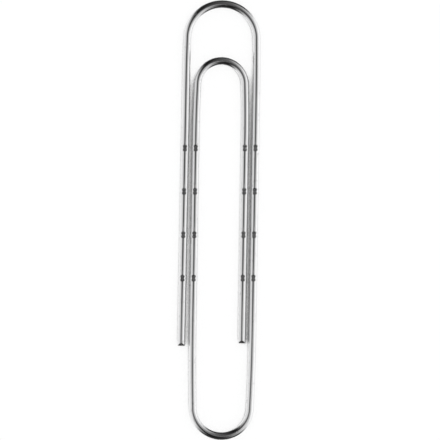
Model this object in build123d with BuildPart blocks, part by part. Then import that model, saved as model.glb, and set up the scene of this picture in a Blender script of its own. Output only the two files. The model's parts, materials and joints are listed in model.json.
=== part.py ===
from build123d import *
from collections import namedtuple
from math import atan, cos, degrees, radians, sin, tan
import os

# Large paper clip of bright round steel wire with pressed grip crimps, shut and lying flat on Z = 0.
# One wire runs up the outer free leg, over the outer bend, down the long leg, round the base bend,
# up the tongue's return leg, over the tongue bend and down the tongue's free leg.
# Its spans meet face to face, and each bend is cut at its crown, where the wire twists as the clip opens.
# X runs across the clip and Y along it, towards the outer bend. Sizes are in millimetres.

# The wire and the clip's outline
wire_diameter = 1.4
overall_length = 77.0
tongue_width = 8.6  # between the centre lines of the tongue's two legs
leg_gap = 0.45  # clear space between the two legs on each side
tongue_setback = 9.95  # from the crown of the outer bend down to the crown of the tongue bend
outer_free_rise = 15.7  # from the crown of the base bend up to the cut end of the outer free leg
tongue_free_rise = 16.3  # from the crown of the base bend up to the cut end of the tongue's free leg
outer_free_splay = 0.17  # in degrees, by which the outer free leg stands out towards its cut end
cut_pinch_length = 0.48  # flat that each blade of the cutter has left at a cut end, along the wire
cut_pinch_depth = 0.33

# How far each bend draws in the two legs that it joins, and the stretch of each leg that leans in
outer_draw_in = 0.1
outer_draw_length = 9.0
tongue_draw_in = 0.17
tongue_draw_length = 9.0
base_draw_in = 0.24
base_draw_length = 14.0

# The crimps, each a pair of tooth marks pressed into the front and the back of a leg
crimp_rows = 4
crimp_pitch = 7.59
first_crimp_rise = 27.63  # from the crown of the base bend up to the lowest row
crimp_skew = 1.0  # in degrees, by which the rows rise towards the long leg
tooth_pitch = 0.66  # between the two tooth marks of one crimp
tooth_width = 0.42  # along the wire, at its crest
tooth_depth = 0.1
tooth_flank_angle = 60  # in degrees, from the floor of the mark

# Lines that the spans share
wire_radius = wire_diameter / 2
leg_pitch = wire_diameter + leg_gap
outer_width = tongue_width + 2 * leg_pitch
base_width = tongue_width + leg_pitch
base_axis_x = leg_pitch / 2
outer_crown_y = overall_length / 2 - wire_radius
tongue_crown_y = outer_crown_y - tongue_setback
base_crown_y = -outer_crown_y
outer_cut_y = base_crown_y + outer_free_rise
tongue_cut_y = base_crown_y + tongue_free_rise

Bend = namedtuple("Bend", "middle_x crown_y leg_way radius lean lean_radius")


def drawn_bend(middle_x, crown_y, leg_way, width, draw_in, draw_length):
    """A bend whose legs lean in to it on gentle arcs, tangent to the leg and to the bend."""
    lean = 2 * atan(draw_in / draw_length)
    radius = (width / 2 - draw_in) / cos(lean)
    return Bend(middle_x, crown_y, leg_way, radius, lean, draw_length / sin(lean))


def bend_end(bend, side):
    """Where a bend runs into its leg on that side."""
    reach = bend.radius * cos(bend.lean)
    drop = bend.radius * (1 - sin(bend.lean))
    return bend.middle_x + side * reach, bend.crown_y + bend.leg_way * drop


outer_bend = drawn_bend(0, outer_crown_y, -1, outer_width, outer_draw_in, outer_draw_length)
tongue_bend = drawn_bend(0, tongue_crown_y, -1, tongue_width, tongue_draw_in, tongue_draw_length)
base_bend = drawn_bend(base_axis_x, base_crown_y, 1, base_width, base_draw_in, base_draw_length)
base_lean_y = bend_end(base_bend, 1)[1] + base_draw_length

# Where the tooth marks lie on the clip's middle line
crimp_ys = [base_crown_y + first_crimp_rise + row * crimp_pitch for row in range(crimp_rows)]
tooth_ys = [y + way * tooth_pitch / 2 for y in crimp_ys for way in (-1, 1)]

os.makedirs("parts", exist_ok=True)

# Legs: name, the bend at the top, side of that bend, foot of the straight run, splay in degrees,
# and whether the foot then leans in to the base bend or is a cut end
legs = [
    ("outer_free_leg", outer_bend, -1, outer_cut_y, outer_free_splay, False),
    ("long_leg", outer_bend, 1, base_lean_y, 0, True),
    ("tongue_return_leg", tongue_bend, -1, base_lean_y, 0, True),
    ("tongue_free_leg", tongue_bend, 1, tongue_cut_y, 0, False),
]
for name, bend, side, foot_y, splay, joins_base in legs:
    with BuildPart() as leg:
        with BuildLine(Plane.XY.offset(wire_radius)):
            top = JernArc(
                start=bend_end(bend, side),
                tangent=(side * sin(bend.lean), -cos(bend.lean)),
                radius=bend.lean_radius,
                arc_size=side * (splay - degrees(bend.lean)),
            )
            run_top = top @ 1
            foot_x = run_top.X + side * tan(radians(splay)) * (run_top.Y - foot_y)
            run = Line(run_top, (foot_x, foot_y))
            if joins_base:
                JernArc(
                    start=run @ 1,
                    tangent=run % 1,
                    radius=base_bend.lean_radius,
                    arc_size=-side * degrees(base_bend.lean),
                )
        with BuildSketch(Plane(origin=top @ 0, z_dir=top % 0)):
            Circle(wire_radius)
        sweep()
        # Flat-floored tooth marks and the flat of a cut end, drawn from the side on the front of the wire
        # and mirrored to its back
        with BuildSketch(Plane(origin=(run_top.X, 0, wire_radius), x_dir=(0, 1, 0), z_dir=(1, 0, 0))):
            skew_rise = run_top.X * tan(radians(crimp_skew))
            with Locations(*[(y + skew_rise, wire_radius) for y in tooth_ys]):
                Trapezoid(
                    tooth_width,
                    tooth_depth,
                    tooth_flank_angle,
                    rotation=180,
                    align=(Align.CENTER, Align.MIN),
                )
            if not joins_base:
                with BuildLine():
                    Polyline(
                        (foot_y + cut_pinch_length, wire_radius),
                        (foot_y - cut_pinch_length, wire_radius),
                        (foot_y - cut_pinch_length, wire_radius - 2 * cut_pinch_depth),
                        close=True,
                    )
                make_face()
            mirror(about=Plane.XZ)
        extrude(amount=wire_diameter, both=True, mode=Mode.SUBTRACT)
    leg.part.label = name
    export_step(leg.part, f"parts/{name}.step")

# Bends: one half is swept from the crown to its leg and mirrored for the other
bends = {"outer_bend": outer_bend, "base_bend": base_bend, "tongue_bend": tongue_bend}
sides = {"left": -1, "right": 1}
for bend_name, bend in bends.items():
    with BuildPart() as swept_half:
        with BuildLine(Plane.XY.offset(wire_radius)):
            arc = JernArc(
                start=(bend.middle_x, bend.crown_y),
                tangent=(bend.leg_way, 0),
                radius=bend.radius,
                arc_size=90 - degrees(bend.lean),
            )
        with BuildSketch(Plane(origin=arc @ 0, z_dir=arc % 0)):
            Circle(wire_radius)
        sweep()
    with BuildPart() as mirrored_half:
        mirror(swept_half.part, about=Plane.YZ.offset(bend.middle_x))
    halves = {bend.leg_way: swept_half, -bend.leg_way: mirrored_half}
    for side_name, side in sides.items():
        name = f"{bend_name}_{side_name}"
        half_bend = halves[side]
        half_bend.part.label = name
        export_step(half_bend.part, f"parts/{name}.step")
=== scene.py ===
import json
from collections import namedtuple
from math import atan, atan2, cos, pi, radians, sin, tan

import bpy
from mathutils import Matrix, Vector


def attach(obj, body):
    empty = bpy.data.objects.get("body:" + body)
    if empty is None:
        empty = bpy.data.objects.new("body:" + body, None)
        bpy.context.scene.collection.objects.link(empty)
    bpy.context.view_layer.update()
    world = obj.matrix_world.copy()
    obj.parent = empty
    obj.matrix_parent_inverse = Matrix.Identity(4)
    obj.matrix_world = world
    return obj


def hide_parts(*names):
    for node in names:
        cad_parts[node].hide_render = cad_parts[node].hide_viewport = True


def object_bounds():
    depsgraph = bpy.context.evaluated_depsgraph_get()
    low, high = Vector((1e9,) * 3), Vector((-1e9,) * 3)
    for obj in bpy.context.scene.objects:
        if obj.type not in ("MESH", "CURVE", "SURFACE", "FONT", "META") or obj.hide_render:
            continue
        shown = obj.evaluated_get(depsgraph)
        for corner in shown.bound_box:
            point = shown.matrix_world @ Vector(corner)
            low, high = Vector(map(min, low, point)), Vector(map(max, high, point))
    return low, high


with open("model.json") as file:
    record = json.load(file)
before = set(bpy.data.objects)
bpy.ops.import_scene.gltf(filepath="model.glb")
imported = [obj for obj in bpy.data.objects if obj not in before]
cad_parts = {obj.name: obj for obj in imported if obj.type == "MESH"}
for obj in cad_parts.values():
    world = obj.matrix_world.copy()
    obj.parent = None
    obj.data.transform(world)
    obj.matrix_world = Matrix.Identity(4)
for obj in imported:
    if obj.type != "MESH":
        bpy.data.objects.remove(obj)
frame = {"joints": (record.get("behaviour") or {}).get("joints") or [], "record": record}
cad_low, cad_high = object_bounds()

# The wire and its route, in metres. Each joint turns on the wire's own centre line at the crown of a bend
crowns = {joint["name"]: joint["pos_m"] for joint in frame["joints"]}
outer_crown_x, outer_crown_y, wire_height = crowns["outer_leg_lift"]
tongue_crown_x, tongue_crown_y, _ = crowns["tongue_leg_lift"]
base_crown_x, base_crown_y, _ = crowns["tongue_lift"]
wire_radius = wire_height - cad_low.z
tongue_width = 0.0086  # between the centre lines of the tongue's two legs
leg_pitch = 2 * base_crown_x  # between the centre lines of the two legs on each side
outer_width = tongue_width + 2 * leg_pitch
base_width = tongue_width + leg_pitch
outer_free_rise = 0.0157  # from the crown of the base bend up to the cut end of the outer free leg
tongue_free_rise = 0.0163  # from the crown of the base bend up to the cut end of the tongue's free leg
outer_cut_y = base_crown_y + outer_free_rise
tongue_cut_y = base_crown_y + tongue_free_rise
outer_free_splay = radians(0.17)  # by which the outer free leg stands out towards its cut end

# How far each bend draws in the two legs that it joins, and the stretch of each leg that leans in
outer_draw_in = 0.0001
outer_draw_length = 0.009
tongue_draw_in = 0.00017
tongue_draw_length = 0.009
base_draw_in = 0.00024
base_draw_length = 0.014

# A bend's leg_way is 1 where its legs run up the clip from the crown and -1 where they run down
Bend = namedtuple("Bend", "crown_x crown_y leg_way radius lean lean_radius")


def drawn_bend(crown_x, crown_y, leg_way, width, draw_in, draw_length):
    """A bend whose legs lean in to it on gentle arcs, tangent to the leg and to the bend."""
    lean = 2 * atan(draw_in / draw_length)
    radius = (width / 2 - draw_in) / cos(lean)
    return Bend(crown_x, crown_y, leg_way, radius, lean, draw_length / sin(lean))


def bend_end_y(bend):
    """How far along the clip a bend runs into its legs."""
    return bend.crown_y + bend.leg_way * bend.radius * (1 - sin(bend.lean))


def half_length(bend):
    """The length of wire from the bend's crown to one of its legs."""
    return bend.radius * (pi / 2 - bend.lean)


outer_bend = drawn_bend(outer_crown_x, outer_crown_y, -1, outer_width, outer_draw_in, outer_draw_length)
tongue_bend = drawn_bend(
    tongue_crown_x, tongue_crown_y, -1, tongue_width, tongue_draw_in, tongue_draw_length
)
base_bend = drawn_bend(base_crown_x, base_crown_y, 1, base_width, base_draw_in, base_draw_length)
bends = {"outer_bend": outer_bend, "base_bend": base_bend, "tongue_bend": tongue_bend}
base_lean_y = bend_end_y(base_bend) + base_draw_length

# Where each crown lies along the wire, from the outer bend's on
long_leg_length = bend_end_y(outer_bend) - bend_end_y(base_bend)
return_leg_length = bend_end_y(tongue_bend) - bend_end_y(base_bend)
outer_along = 0
base_along = half_length(outer_bend) + long_leg_length + half_length(base_bend)
tongue_along = base_along + half_length(base_bend) + return_leg_length + half_length(tongue_bend)
crown_along = {outer_bend: outer_along, base_bend: base_along, tongue_bend: tongue_along}

# Each crimp is a pair of rounded tooth marks, front and back, and the wire swells a little beside each mark
crimp_rows = 4
crimp_pitch = 0.00759
first_crimp_rise = 0.02763  # from the crown of the base bend up to the lowest row
first_crimp_y = base_crown_y + first_crimp_rise
crimp_skew = radians(1.0)  # by which the rows rise towards the long leg
tooth_depth = 0.0001
tooth_swell = 0.00004
crimp_head = 0.0015  # plain wire above a crimp in the stretch that is repeated
crimp_tail = crimp_pitch - crimp_head

# Half of a crimp: the distance from its middle along the wire, and the share of the depth there
half_crimp = [
    (0.0, 0.5),
    (0.0001, 0.58),
    (0.00018, 0.84),
    (0.00025, 0.98),
    (0.00033, 1.0),
    (0.0004, 0.94),
    (0.00046, 0.75),
    (0.00051, 0.42),
    (0.00056, 0.12),
    (0.0006, 0.0),
]

# The cutter's two blades leave a flat on the front and on the back of each cut end, and break its edge
cut_pinch_length = 0.00048
cut_pinch_depth = 0.00033
cut_edge_roll = 0.0001
bared_normal_y = -0.5  # a face that looks further down the leg than this was bared by the cutter

# Fineness of the meshes
wire_sides = 64
bend_steps = 72
lean_steps = 10
cut_edge_steps = 4
tent_segments = 96
tent_rings = 48
flag_sides = 96
smooth_angle = radians(30)
weld = 1e-7
tilt_slack = 5e-6  # how far a splayed leg's end ring lies out of level

# Colours of the plated wire
cloudy_plating = (0.81, 0.81, 0.82, 1)
clear_plating = (0.9, 0.9, 0.9, 1)
rubbed_plating = (0.55, 0.55, 0.55, 1)
# grey of the tooth marks: partly plating dulled by the teeth, partly painted shade in the marks
tooth_dulling_and_shade_grey = (0.3, 0.3, 0.305, 1)
bare_steel = (0.5, 0.495, 0.49, 1)

# Its relief, in metres
die_line_relief = 0.000004
ripple_relief = 0.00003
rub_relief = 0.000004

# The photograph's framing: the clip's length fills the picture, and the clip leans to the right in it
picture_pixels = 440
clip_length = cad_high.y - cad_low.y
pixel = clip_length / picture_pixels
clip_middle_pixel = 219.22
clip_lean = radians(0.93)
camera_distance = 0.8
lens_clip_start = 0.01

# The floor, shaded by what stands close over it, as if lit a little from the right
floor_size = 4
floor_light_lean = radians(25)
shade_reach = 0.004
shade_samples = 16
full_shade_sky = 0.25  # share of the sky that is open where the floor is darkest
no_shade_sky = 0.41  # and where the shade ends
darkest_shade = 0.02
matt_share = 0.15  # of the floor that takes its light from the room and the softbox
white = (1, 1, 1, 1)
black = (0, 0, 0, 1)

# The light tent, with the brightness of each part of its cloth, and the softbox
tent_radius = 0.6
right_cloth = 1.05
left_cloth = 0.85
slit_light = 0.55
dark_roof = 0.015  # on the left of the strip along the roof
pale_roof = 0.12  # on the right of that strip
near_end_dimming = 0.75
slit_way_x = 0.64  # the way that the slit in the cloth runs
slit_way_y = -0.77
softbox_x = 0.4
softbox_height = 0.3
softbox_width = 0.8
softbox_depth = 0.4
softbox_level = 0.5  # of a white that is 1

# Low rings of dark card beside the bends' outer and inner rims, which paint dark reflections on the rims
flag_gap = 0.0011  # from the wire to the card
painted_rim_reflection_grey = (0.04, 0.04, 0.04, 1)
outer_flag_height = {outer_bend: 0.0018, base_bend: 0.0018, tongue_bend: 0.0014}
inner_flag_height = 0.0016
outer_flag_spread = radians(60)
inner_flag_spread = radians(48)


def deselect_all():
    """Leaves edit mode, with nothing selected."""
    if bpy.context.object and bpy.context.object.mode == "EDIT":
        bpy.ops.object.mode_set(mode="OBJECT")
    bpy.ops.object.select_all(action="DESELECT")


def wire_ring(name, place, turn, outwards):
    """A ring of the wire's own section, in edit mode with all of it selected.

    Each point notes how far outwards across the wire it lies and how high, and what is drawn on from it
    keeps that note.
    """
    deselect_all()
    bpy.ops.mesh.primitive_circle_add(
        vertices=wire_sides, radius=wire_radius, calc_uvs=False, location=place, rotation=turn
    )
    wire = bpy.context.object
    wire.name = name
    wire.data.name = name
    bpy.ops.object.transform_apply(location=True, rotation=True, scale=True)
    notes = wire.data.attributes.new("wire_place", "FLOAT_VECTOR", "POINT")
    for vertex, note in zip(wire.data.vertices, notes.data):
        x, y, z = vertex.co
        across = (x - place[0]) * outwards[0] + (y - place[1]) * outwards[1]
        note.vector = (across, z - place[2], 0)
    bpy.ops.object.mode_set(mode="EDIT")
    bpy.ops.mesh.select_all(action="SELECT")
    return wire


def select_vertices(piece, chosen):
    """Selects, in edit mode, the vertices whose place passes the test, and what lies between them."""
    bpy.ops.object.mode_set(mode="OBJECT")
    for vertex in piece.data.vertices:
        vertex.select = chosen(vertex.co)
    for part in (piece.data.edges, piece.data.polygons):
        for element in part:
            element.select = all(piece.data.vertices[v].select for v in element.vertices)
    bpy.ops.object.mode_set(mode="EDIT")


def extrude_by(step):
    """Draws what is selected on by a step."""
    bpy.ops.mesh.extrude_region_move(TRANSFORM_OT_translate={"value": step})


def spin_on(turn, centre, steps):
    """Draws the selected ring on round an upright axis. A positive turn is clockwise, seen from above."""
    bpy.ops.mesh.spin(steps=steps, angle=turn, center=centre, axis=(0, 0, 1))


def close_wire(piece):
    """Closes both ends, turns the faces outwards and shades the round of the wire smooth."""
    bpy.ops.mesh.select_all(action="SELECT")
    bpy.ops.mesh.remove_doubles(threshold=weld)
    bpy.ops.mesh.fill_holes(sides=0)
    bpy.ops.mesh.select_all(action="SELECT")
    bpy.ops.mesh.normals_make_consistent(inside=False)
    bpy.ops.object.mode_set(mode="OBJECT")
    bpy.ops.object.shade_smooth_by_angle(angle=smooth_angle)


def note_along(piece, outwards, along):
    """Turns each point's note outwards and adds its place along the wire, as it was before it was bent."""
    for vertex, note in zip(piece.data.vertices, piece.data.attributes["wire_place"].data):
        across, height, _ = note.vector
        note.vector = (outwards * across, height, along(vertex.co))


def press_ring(stretch, ring_y, share):
    """Swells the ring at ring_y to both sides, then flattens its front and its back."""
    swell = 1 + share * tooth_swell / wire_radius
    floor = wire_radius - share * tooth_depth
    select_vertices(stretch, lambda place: abs(place.y - ring_y) < weld)
    bpy.ops.transform.resize(value=(swell, 1, 1), center_override=(0, ring_y, 0))
    for face in (1, -1):
        select_vertices(
            stretch, lambda place: abs(place.y - ring_y) < weld and face * place.z > floor
        )
        bpy.ops.transform.resize(value=(1, 1, 0), center_override=(0, ring_y, face * floor))


def note_pressed(stretch, rings):
    """Notes on each point how deep the tooth has pressed it, from 0 to 1."""
    bpy.ops.object.mode_set(mode="OBJECT")
    notes = stretch.data.attributes.new("pressed", "FLOAT", "POINT")
    for vertex, note in zip(stretch.data.vertices, notes.data):
        for ring_y, share in rings:
            floor = wire_radius - share * tooth_depth
            if abs(vertex.co.y - ring_y) < weld and abs(vertex.co.z) > floor - weld:
                note.value = share


def crimp_stretch():
    """One crimp on a stretch of wire as long as the crimps' pitch, along Y, open at both ends."""
    rings = [(-offset, share) for offset, share in half_crimp[:0:-1]] + half_crimp
    stretch = wire_ring("crimp_stretch", (0, -crimp_tail, 0), (pi / 2, 0, 0), (1, 0))
    last_y = -crimp_tail
    for ring_y in [y for y, share in rings] + [crimp_head]:
        extrude_by((0, ring_y - last_y, 0))
        last_y = ring_y
    for ring_y, share in rings:
        press_ring(stretch, ring_y, share)
    note_pressed(stretch, rings)
    return stretch


def crimped_run(stretch, name, run_x, top_y, foot_y):
    """A copy of the crimped stretch for each row of crimps, run on up and down. The foot is selected."""
    deselect_all()
    bpy.context.view_layer.objects.active = stretch
    stretch.select_set(True)
    bpy.ops.object.duplicate()
    run = bpy.context.object
    run.name = name
    run.data.name = name
    rows = run.modifiers.new("crimp rows", "ARRAY")
    rows.count = crimp_rows
    rows.use_relative_offset = False
    rows.use_constant_offset = True
    rows.constant_offset_displace = (0, crimp_pitch, 0)
    rows.use_merge_vertices = True
    rows.merge_threshold = weld
    bpy.ops.object.modifier_apply(modifier=rows.name)
    bpy.ops.object.mode_set(mode="EDIT")
    bpy.ops.mesh.select_all(action="SELECT")
    lowest_y = first_crimp_y + run_x * tan(crimp_skew)
    bpy.ops.transform.translate(value=(run_x, lowest_y, wire_height))
    rows_top_y = lowest_y + crimp_pitch * (crimp_rows - 1) + crimp_head
    select_vertices(run, lambda place: place.y > rows_top_y - weld)
    extrude_by((0, top_y - rows_top_y, 0))
    rows_foot_y = lowest_y - crimp_tail
    select_vertices(run, lambda place: place.y < rows_foot_y + weld)
    extrude_by((0, foot_y - rows_foot_y, 0))
    return run


def cut_foot(cut_y):
    """Closes the selected foot, breaks its edge and pinches it from the front and the back."""
    bpy.ops.mesh.edge_face_add()
    bpy.ops.mesh.bevel(offset=cut_edge_roll, segments=cut_edge_steps, affect="EDGES")
    for face in (1, -1):
        bpy.ops.mesh.select_all(action="SELECT")
        bpy.ops.mesh.bisect(
            plane_co=(0, cut_y + cut_pinch_length, wire_height + face * wire_radius),
            plane_no=(0, -cut_pinch_depth / cut_pinch_length, face),
            use_fill=True,
            clear_outer=True,
            threshold=weld,
        )


def note_cut(leg):
    """Notes on each face whether the cutter has bared it."""
    notes = leg.data.attributes.new("bared", "FLOAT", "FACE")
    for face, note in zip(leg.data.polygons, notes.data):
        note.value = 1 if face.normal.y < bared_normal_y else 0


def wire_leg(stretch, name, bend, side, foot_y, splay, joins_base):
    """A leg from its bend down to the base bend or to a cut end."""
    end_reach = bend.radius * cos(bend.lean)
    run_x = bend.crown_x + side * (end_reach + bend.lean_radius * (cos(splay) - cos(bend.lean)))
    run_top_y = bend_end_y(bend) - bend.lean_radius * (sin(bend.lean) - sin(splay))
    leg = crimped_run(stretch, name, run_x, run_top_y, foot_y)
    if joins_base:
        foot_centre = (run_x - side * base_bend.lean_radius, foot_y, wire_height)
        spin_on(side * base_bend.lean, foot_centre, lean_steps)
    else:
        cut_foot(foot_y)
    bpy.ops.mesh.select_all(action="SELECT")
    bpy.ops.transform.rotate(
        value=-side * splay, orient_axis="Z", center_override=(run_x, run_top_y, wire_height)
    )
    select_vertices(leg, lambda place: place.y > run_top_y - tilt_slack)
    top_centre = (
        run_x - side * bend.lean_radius * cos(splay),
        run_top_y - bend.lean_radius * sin(splay),
        wire_height,
    )
    spin_on(-side * (bend.lean - splay), top_centre, lean_steps)
    close_wire(leg)
    if not joins_base:
        note_cut(leg)
    note_along(
        leg,
        side,
        lambda place: crown_along[bend] + side * (half_length(bend) + bend_end_y(bend) - place.y),
    )
    return leg


def half_bend(name, bend, side):
    """Half of a bend, from its crown round to the leg on that side."""
    crown = (bend.crown_x, bend.crown_y, wire_height)
    centre_y = bend.crown_y + bend.leg_way * bend.radius
    half = wire_ring(name, crown, (0, pi / 2, 0), (0, -bend.leg_way))
    onwards = -bend.leg_way * side
    spin_on(onwards * (pi / 2 - bend.lean), (bend.crown_x, centre_y, wire_height), bend_steps)
    close_wire(half)
    note_along(
        half,
        1,
        lambda place: crown_along[bend]
        + onwards
        * bend.radius
        * atan2(side * (place.x - bend.crown_x), -bend.leg_way * (place.y - centre_y)),
    )
    return half


class Tap:
    """A shader output that takes part in sums."""

    def __init__(self, bench, socket):
        self.bench = bench
        self.socket = socket

    def sum(self, operation, first, second):
        return self.bench.add("ShaderNodeMath", {"operation": operation}, {0: first, 1: second})

    def __add__(self, other):
        return self.sum("ADD", self, other)

    def __radd__(self, other):
        return self.sum("ADD", other, self)

    def __sub__(self, other):
        return self.sum("SUBTRACT", self, other)

    def __rsub__(self, other):
        return self.sum("SUBTRACT", other, self)

    def __mul__(self, other):
        return self.sum("MULTIPLY", self, other)

    def __rmul__(self, other):
        return self.sum("MULTIPLY", other, self)

    def __abs__(self):
        return self.bench.add("ShaderNodeMath", {"operation": "ABSOLUTE"}, {0: self})


class Bench:
    """A material's or the world's nodes, each added by one method."""

    def __init__(self, owner):
        owner.use_nodes = True
        self.tree = owner.node_tree
        self.tree.nodes.clear()

    def add(self, kind, settings, inputs, output=0):
        node = self.tree.nodes.new(kind)
        for name, value in settings.items():
            setattr(node, name, value)
        for name, value in inputs.items():
            if isinstance(value, Tap):
                self.tree.links.new(value.socket, node.inputs[name])
            else:
                node.inputs[name].default_value = value
        return Tap(self, node.outputs[output]) if node.outputs else None


def ramp(bench, value, start, end, low=0.0, high=1.0, course="SMOOTHSTEP"):
    """Turns from low to high as a value goes from start to end, softly or in a straight line."""
    return bench.add(
        "ShaderNodeMapRange",
        {"interpolation_type": course},
        {"Value": value, "From Min": start, "From Max": end, "To Min": low, "To Max": high},
    )


def wire_noise(bench, wire_place, along, scale, detail):
    """A noise drawn out along the wire."""
    drawn = bench.add("ShaderNodeVectorMath", {"operation": "MULTIPLY"}, {0: wire_place, 1: (1, 1, along)})
    return bench.add("ShaderNodeTexNoise", {}, {"Vector": drawn, "Scale": scale, "Detail": detail})


def tint(bench, share, colour, other):
    """One colour turning into another by a share from 0 to 1."""
    return bench.add("ShaderNodeMix", {"data_type": "RGBA"}, {0: share, 6: colour, 7: other}, 2)


def bright_wire_finish():
    """Bright plated steel wire.

    Fine lines run along it from the drawing die, the plating is a little cloudy and rubbed in specks, the
    crimping teeth have dulled it and their marks are darkened with painted shade, and the cuts are bare.
    """
    finish = bpy.data.materials.new("bright_wire")
    bench = Bench(finish)
    wire_place = bench.add("ShaderNodeAttribute", {"attribute_name": "wire_place"}, {}, "Vector")
    pressed = bench.add("ShaderNodeAttribute", {"attribute_name": "pressed"}, {}, "Fac")
    bared = bench.add("ShaderNodeAttribute", {"attribute_name": "bared"}, {}, "Fac")
    die_lines = wire_noise(bench, wire_place, along=0.03, scale=8000.0, detail=2.0)
    cloud = wire_noise(bench, wire_place, along=0.4, scale=700.0, detail=3.0)
    ripple = wire_noise(bench, wire_place, along=0.5, scale=300.0, detail=1.0)
    specks = wire_noise(bench, wire_place, along=0.5, scale=2600.0, detail=1.0)
    rubbed = ramp(bench, specks, start=0.66, end=0.74, course="LINEAR")
    plating = tint(bench, cloud, cloudy_plating, clear_plating)
    plating = tint(bench, 0.35 * rubbed, plating, rubbed_plating)
    # The tooth marks turn greyer with their depth: partly dulled plating, partly painted shade in the
    # hollows.
    plating = tint(bench, 0.35 * pressed, plating, tooth_dulling_and_shade_grey)
    colour = tint(bench, bared, plating, bare_steel)
    roughness = 0.07 + 0.08 * cloud + 0.05 * die_lines + 0.12 * rubbed + 0.1 * pressed + 0.2 * bared
    relief = die_line_relief * die_lines + ripple_relief * ripple - rub_relief * rubbed
    normal = bench.add("ShaderNodeBump", {}, {"Distance": 1.0, "Height": relief})
    shader = bench.add(
        "ShaderNodeBsdfPrincipled",
        {},
        {"Base Color": colour, "Metallic": 1.0, "Roughness": roughness, "Normal": normal},
    )
    bench.add("ShaderNodeOutputMaterial", {}, {"Surface": shader})
    return finish


def floor_finish():
    """A plain white floor, lit a little from the right, that darkens only where the wire stands over it."""
    finish = bpy.data.materials.new("white_floor")
    bench = Bench(finish)
    to_light = bench.add(
        "ShaderNodeCombineXYZ", {}, {"X": sin(floor_light_lean), "Z": cos(floor_light_lean)}
    )
    open_sky = bench.add(
        "ShaderNodeAmbientOcclusion",
        {"samples": shade_samples},
        {"Distance": shade_reach, "Normal": to_light},
        "AO",
    )
    lit = ramp(bench, open_sky, full_shade_sky, no_shade_sky, low=darkest_shade)
    dark = bench.add("ShaderNodeBsdfDiffuse", {}, {"Color": black})
    clear = bench.add("ShaderNodeBsdfTransparent", {}, {"Color": white})
    shaded = bench.add("ShaderNodeMixShader", {}, {0: lit, 1: dark, 2: clear})
    matt = bench.add("ShaderNodeBsdfDiffuse", {}, {"Color": white})
    mixed = bench.add("ShaderNodeMixShader", {}, {0: matt_share, 1: shaded, 2: matt})
    bench.add("ShaderNodeOutputMaterial", {}, {"Surface": mixed})
    return finish


def tent_finish():
    """White cloth on both sides of the tent, brighter on the right, and a dark strip along its roof.

    A slit of light runs down from the roof towards the right of the near end. Places are in tent radii.
    """
    finish = bpy.data.materials.new("tent_cloth")
    bench = Bench(finish)
    place = bench.add("ShaderNodeTexCoord", {}, {}, "Object")
    x = bench.add("ShaderNodeSeparateXYZ", {}, {"Vector": place}, "X")
    y = bench.add("ShaderNodeSeparateXYZ", {}, {"Vector": place}, "Y")
    from_middle = abs(y)
    far_half = bench.add("ShaderNodeMath", {"operation": "MAXIMUM"}, {0: y, 1: 0.0})
    right_side = ramp(bench, x, start=0.03 + 0.2 * from_middle, end=0.95, course="LINEAR")
    left_side = ramp(
        bench,
        x + 0.4 * far_half,
        start=-0.05 - 0.3 * from_middle,
        end=-0.9 + 0.1 * from_middle,
    )
    near_end = ramp(bench, -3 * x - y, start=0.1, end=0.6)
    roof = ramp(bench, x, start=-0.3, end=0.15, low=dark_roof, high=pale_roof, course="LINEAR")
    along_slit = slit_way_x * x + slit_way_y * y
    across_slit = abs(slit_way_x * y - slit_way_y * x)
    slit_edge = ramp(bench, across_slit, start=0.16, end=0.02)
    slit_end = ramp(bench, along_slit, start=0.0, end=0.2)
    slit = slit_edge * slit_end * (1 - along_slit)
    dimmed_roof = roof * (1 - near_end_dimming * near_end)
    tone = dimmed_roof + right_cloth * right_side + left_cloth * left_side + slit_light * slit
    glow = bench.add("ShaderNodeEmission", {}, {"Color": tone})
    bench.add("ShaderNodeOutputMaterial", {}, {"Surface": glow})
    return finish


def flag_finish(name, bend, radius, spread):
    """Dark card round the crown of a bend, which turns clear at a spread to each side of it."""
    # The card's grey shows only in the wire, as a painted dark reflection on its rim.
    finish = bpy.data.materials.new(name)
    bench = Bench(finish)
    place = bench.add("ShaderNodeTexCoord", {}, {}, "Object")
    y = bench.add("ShaderNodeSeparateXYZ", {}, {"Vector": place}, "Y")
    dark = ramp(bench, y * (-bend.leg_way / radius), start=cos(spread), end=cos(spread / 2))
    clear = bench.add("ShaderNodeBsdfTransparent", {}, {})
    card = bench.add("ShaderNodeEmission", {}, {"Color": painted_rim_reflection_grey})
    surface = bench.add("ShaderNodeMixShader", {}, {0: dark, 1: clear, 2: card})
    bench.add("ShaderNodeOutputMaterial", {}, {"Surface": surface})
    return finish


def only_reflect(prop):
    """Keeps a thing of the studio out of sight, so that it shows only as a reflection in the wire."""
    prop.visible_camera = False
    prop.visible_diffuse = False
    prop.visible_shadow = False


def white_floor():
    """The floor under the clip."""
    deselect_all()
    bpy.ops.mesh.primitive_plane_add(size=floor_size, location=(0, 0, cad_low.z))
    floor = bpy.context.object
    floor.name = "floor"
    floor.data.materials.append(floor_finish())


def light_tent():
    """A half round tent over the clip."""
    deselect_all()
    bpy.ops.mesh.primitive_uv_sphere_add(segments=tent_segments, ring_count=tent_rings, radius=1)
    tent = bpy.context.object
    tent.name = "light_tent"
    bpy.ops.object.mode_set(mode="EDIT")
    bpy.ops.mesh.select_all(action="SELECT")
    bpy.ops.mesh.bisect(plane_co=(0, 0, 0), plane_no=(0, 0, 1), clear_inner=True)
    bpy.ops.object.mode_set(mode="OBJECT")
    tent.scale = (tent_radius, tent_radius, tent_radius)
    tent.data.materials.append(tent_finish())
    only_reflect(tent)


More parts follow.
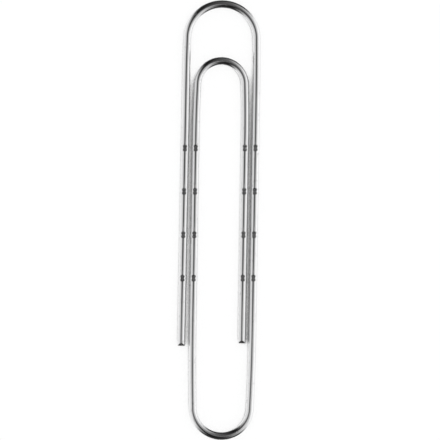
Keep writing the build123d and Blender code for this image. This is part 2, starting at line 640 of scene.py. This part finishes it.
def rim_flag(name, bend, way, height, spread):
    """A low ring of dark card beside a bend's outer rim, where way is 1, or inner rim, where it is -1."""
    # Seen only in the wire, the ring paints a dark reflection along that rim.
    radius = bend.radius + way * (wire_radius + flag_gap)
    deselect_all()
    bpy.ops.mesh.primitive_cylinder_add(
        vertices=flag_sides,
        radius=radius,
        depth=height,
        end_fill_type="NOTHING",
        location=(bend.crown_x, bend.crown_y + bend.leg_way * bend.radius, height / 2),
    )
    ring = bpy.context.object
    ring.name = name
    ring.data.materials.append(flag_finish(name, bend, radius, spread))
    only_reflect(ring)


def right_softbox():
    """A softbox on the right, which the wire doesn't reflect."""
    lamp = bpy.data.lights.new("right_softbox", "AREA")
    lamp.shape = "RECTANGLE"
    lamp.size = softbox_width
    lamp.size_y = softbox_depth
    lamp.energy = softbox_level * pi * lamp.size * lamp.size_y
    softbox = bpy.data.objects.new("right_softbox", lamp)
    bpy.context.scene.collection.objects.link(softbox)
    softbox.location = (softbox_x, 0, softbox_height)
    softbox.rotation_euler = (0, atan2(softbox_x, softbox_height), 0)
    softbox.visible_glossy = False


def white_room():
    """Even white light from all round."""
    world = bpy.data.worlds.new("white_room")
    bpy.context.scene.world = world
    bench = Bench(world)
    glow = bench.add("ShaderNodeBackground", {}, {"Color": white, "Strength": 1.0})
    bench.add("ShaderNodeOutputWorld", {}, {"Surface": glow})


def studio():
    """White floor and surroundings, a light tent, dark flags round the bends and one softbox."""
    white_floor()
    light_tent()
    for name, bend in bends.items():
        rim_flag(name + "_outer_flag", bend, 1, outer_flag_height[bend], outer_flag_spread)
        rim_flag(name + "_inner_flag", bend, -1, inner_flag_height, inner_flag_spread)
    right_softbox()
    white_room()


def camera():
    """A long lens straight above the clip."""
    lens = bpy.data.cameras.new("camera")
    lens.lens = lens.sensor_width * camera_distance / clip_length
    lens.clip_start = lens_clip_start
    view = bpy.data.objects.new("camera", lens)
    bpy.context.scene.collection.objects.link(view)
    aside = (picture_pixels / 2 - clip_middle_pixel) * pixel
    view.location = (aside * cos(clip_lean), aside * sin(clip_lean), wire_height + camera_distance)
    view.rotation_euler = (0, 0, clip_lean)
    bpy.context.scene.camera = view
    bpy.context.scene.view_settings.view_transform = "Standard"


# Legs: name, the bend at the top, side of that bend, foot of the straight run, splay,
# and whether the foot then leans in to the base bend or is a cut end
legs = [
    ("outer_free_leg", outer_bend, -1, outer_cut_y, outer_free_splay, False),
    ("long_leg", outer_bend, 1, base_lean_y, 0, True),
    ("tongue_return_leg", tongue_bend, -1, base_lean_y, 0, True),
    ("tongue_free_leg", tongue_bend, 1, tongue_cut_y, 0, False),
]
pieces = {}
stretch = crimp_stretch()
for node, bend, side, foot_y, splay, joins_base in legs:
    pieces[node] = wire_leg(stretch, f"{node}_wire", bend, side, foot_y, splay, joins_base)
bpy.data.objects.remove(stretch)
for bend_name, bend in bends.items():
    for side_name, side in (("left", -1), ("right", 1)):
        node = f"{bend_name}_{side_name}"
        pieces[node] = half_bend(f"{node}_wire", bend, side)

finish = bright_wire_finish()
bodies = frame["record"]["behaviour"]["bodies"]
body_of_node = {node: body for body, nodes in bodies.items() for node in nodes}
for node, piece in pieces.items():
    piece.data.materials.append(finish)
    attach(piece, body_of_node[node])
    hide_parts(node)

studio()
camera()
